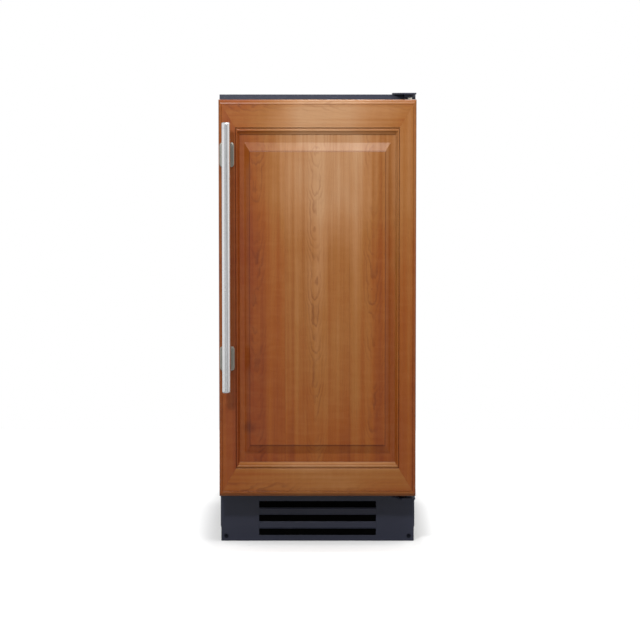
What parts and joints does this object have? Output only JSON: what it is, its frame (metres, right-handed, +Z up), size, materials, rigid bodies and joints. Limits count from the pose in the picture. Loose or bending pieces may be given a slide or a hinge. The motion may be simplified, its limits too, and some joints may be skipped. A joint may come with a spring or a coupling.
{
  "type": "undercounter ice maker",
  "caption": "Built-in ice maker with a raised-panel wooden door, bar handle, vented kick plate and working door, fan, pump and keys.",
  "frame": {"origin": "on the floor, in the middle of the footprint's box, which includes the handle", "axes": "+Z up; the front (door) faces -Y; +X to the right when facing the front"},
  "size_m": [0.378, 0.665, 0.872],
  "materials": {
    "cherry_wood": "satin",
    "dark_enamel": "satin",
    "galvanised_steel": "satin",
    "stainless_steel": "satin",
    "zinc_fasteners": "satin",
    "liner_plastic": "satin",
    "white_plastic": "satin",
    "black_plastic": "matte",
    "key_plastic": "matte",
    "clear_plastic": "gloss",
    "display_glass": "gloss",
    "foam": "matte",
    "gasket_rubber": "matte",
    "mount_rubber": "matte",
    "hose_vinyl": "satin",
    "copper": "satin",
    "fin_aluminium": "satin",
    "compressor_paint": "satin",
    "acetal": "matte",
    "foot_steel": "satin"
  },
  "bodies": {
    "cabinet": {"cabinet_wrap": "dark_enamel", "insulation_foam": "foam", "inner_liner": "liner_plastic", "front_frame": "dark_enamel", "rear_panel": "galvanised_steel", "service_cover": "galvanised_steel", "base_pan": "galvanised_steel", "toe_kick_grille": "dark_enamel", "cover_screws": "zinc_fasteners", "hinge_brackets": "dark_enamel", "hinge_pins": "zinc_fasteners", "hinge_screws": "zinc_fasteners", "evaporator_plate": "stainless_steel", "evaporator_coil": "copper", "cutter_grid_frame": "white_plastic", "cutter_grid_wires": "stainless_steel", "water_trough": "white_plastic", "circulation_pump": "white_plastic", "water_distributor": "white_plastic", "water_hoses": "hose_vinyl", "bin_guard": "clear_plastic", "drain_fittings": "white_plastic", "scoop_holder": "white_plastic", "control_housing": "black_plastic", "display_window": "display_glass", "lamp_lens": "clear_plastic", "condenser_fins": "fin_aluminium", "condenser_tube": "copper", "fan_shroud": "black_plastic", "fan_motor": "galvanised_steel", "compressor": "compressor_paint", "compressor_mounts": "mount_rubber", "refrigerant_pipes": "copper", "water_valve": "white_plastic", "wiring_box": "galvanised_steel", "cord_gland": "black_plastic"},
    "door": {"door_pan": "dark_enamel", "door_foam": "foam", "door_bushes": "acetal", "door_liner": "liner_plastic", "door_gasket": "gasket_rubber", "top_rail": "cherry_wood", "bottom_rail": "cherry_wood", "left_stile": "cherry_wood", "right_stile": "cherry_wood", "raised_panel": "cherry_wood", "handle_tube": "stainless_steel", "handle_end_caps": "stainless_steel", "handle_brackets": "stainless_steel", "handle_bolts": "zinc_fasteners"},
    "front_left_foot": {"front_left_foot": "foot_steel"},
    "front_right_foot": {"front_right_foot": "foot_steel"},
    "rear_left_foot": {"rear_left_foot": "foot_steel"},
    "rear_right_foot": {"rear_right_foot": "foot_steel"},
    "power_key": {"power_key": "key_plastic"},
    "clean_key": {"clean_key": "key_plastic"},
    "light_key": {"light_key": "key_plastic"},
    "fan": {"fan_blade": "black_plastic"},
    "impeller": {"pump_impeller": "acetal"},
    "scoop": {"ice_scoop": "white_plastic"}
  },
  "joints": [
    {"name": "door_swing", "type": "hinge", "parent": "cabinet", "child": "door", "pos_m": [0.1773, -0.24, 0.48], "axis": [0, 0, 1], "range_deg": [0, 110]},
    {"name": "fan_spin", "type": "hinge", "parent": "cabinet", "child": "fan", "pos_m": [-0.044, -0.1355, 0.082], "axis": [0, 1, 0], "continuous": true},
    {"name": "impeller_spin", "type": "hinge", "parent": "cabinet", "child": "impeller", "pos_m": [0.093, 0.07, 0.56], "axis": [0, 0, 1], "continuous": true},
    {"name": "scoop_lift", "type": "slide", "parent": "cabinet", "child": "scoop", "axis": [0, 0, 1], "range_m": [0, 0.1]},
    {"name": "front_left_foot_height", "type": "slide", "parent": "cabinet", "child": "front_left_foot", "axis": [0, 0, -1], "range_m": [0, 0.02]},
    {"name": "front_right_foot_height", "type": "slide", "parent": "cabinet", "child": "front_right_foot", "axis": [0, 0, -1], "range_m": [0, 0.02]},
    {"name": "rear_left_foot_height", "type": "slide", "parent": "cabinet", "child": "rear_left_foot", "axis": [0, 0, -1], "range_m": [0, 0.02]},
    {"name": "rear_right_foot_height", "type": "slide", "parent": "cabinet", "child": "rear_right_foot", "axis": [0, 0, -1], "range_m": [0, 0.02]},
    {"name": "power_key_press", "type": "slide", "parent": "cabinet", "child": "power_key", "axis": [0, 1, 0], "range_m": [0, 0.0015], "stiffness_N_per_m": 400},
    {"name": "clean_key_press", "type": "slide", "parent": "cabinet", "child": "clean_key", "axis": [0, 1, 0], "range_m": [0, 0.0015], "stiffness_N_per_m": 400},
    {"name": "light_key_press", "type": "slide", "parent": "cabinet", "child": "light_key", "axis": [0, 1, 0], "range_m": [0, 0.0015], "stiffness_N_per_m": 400}
  ]
}
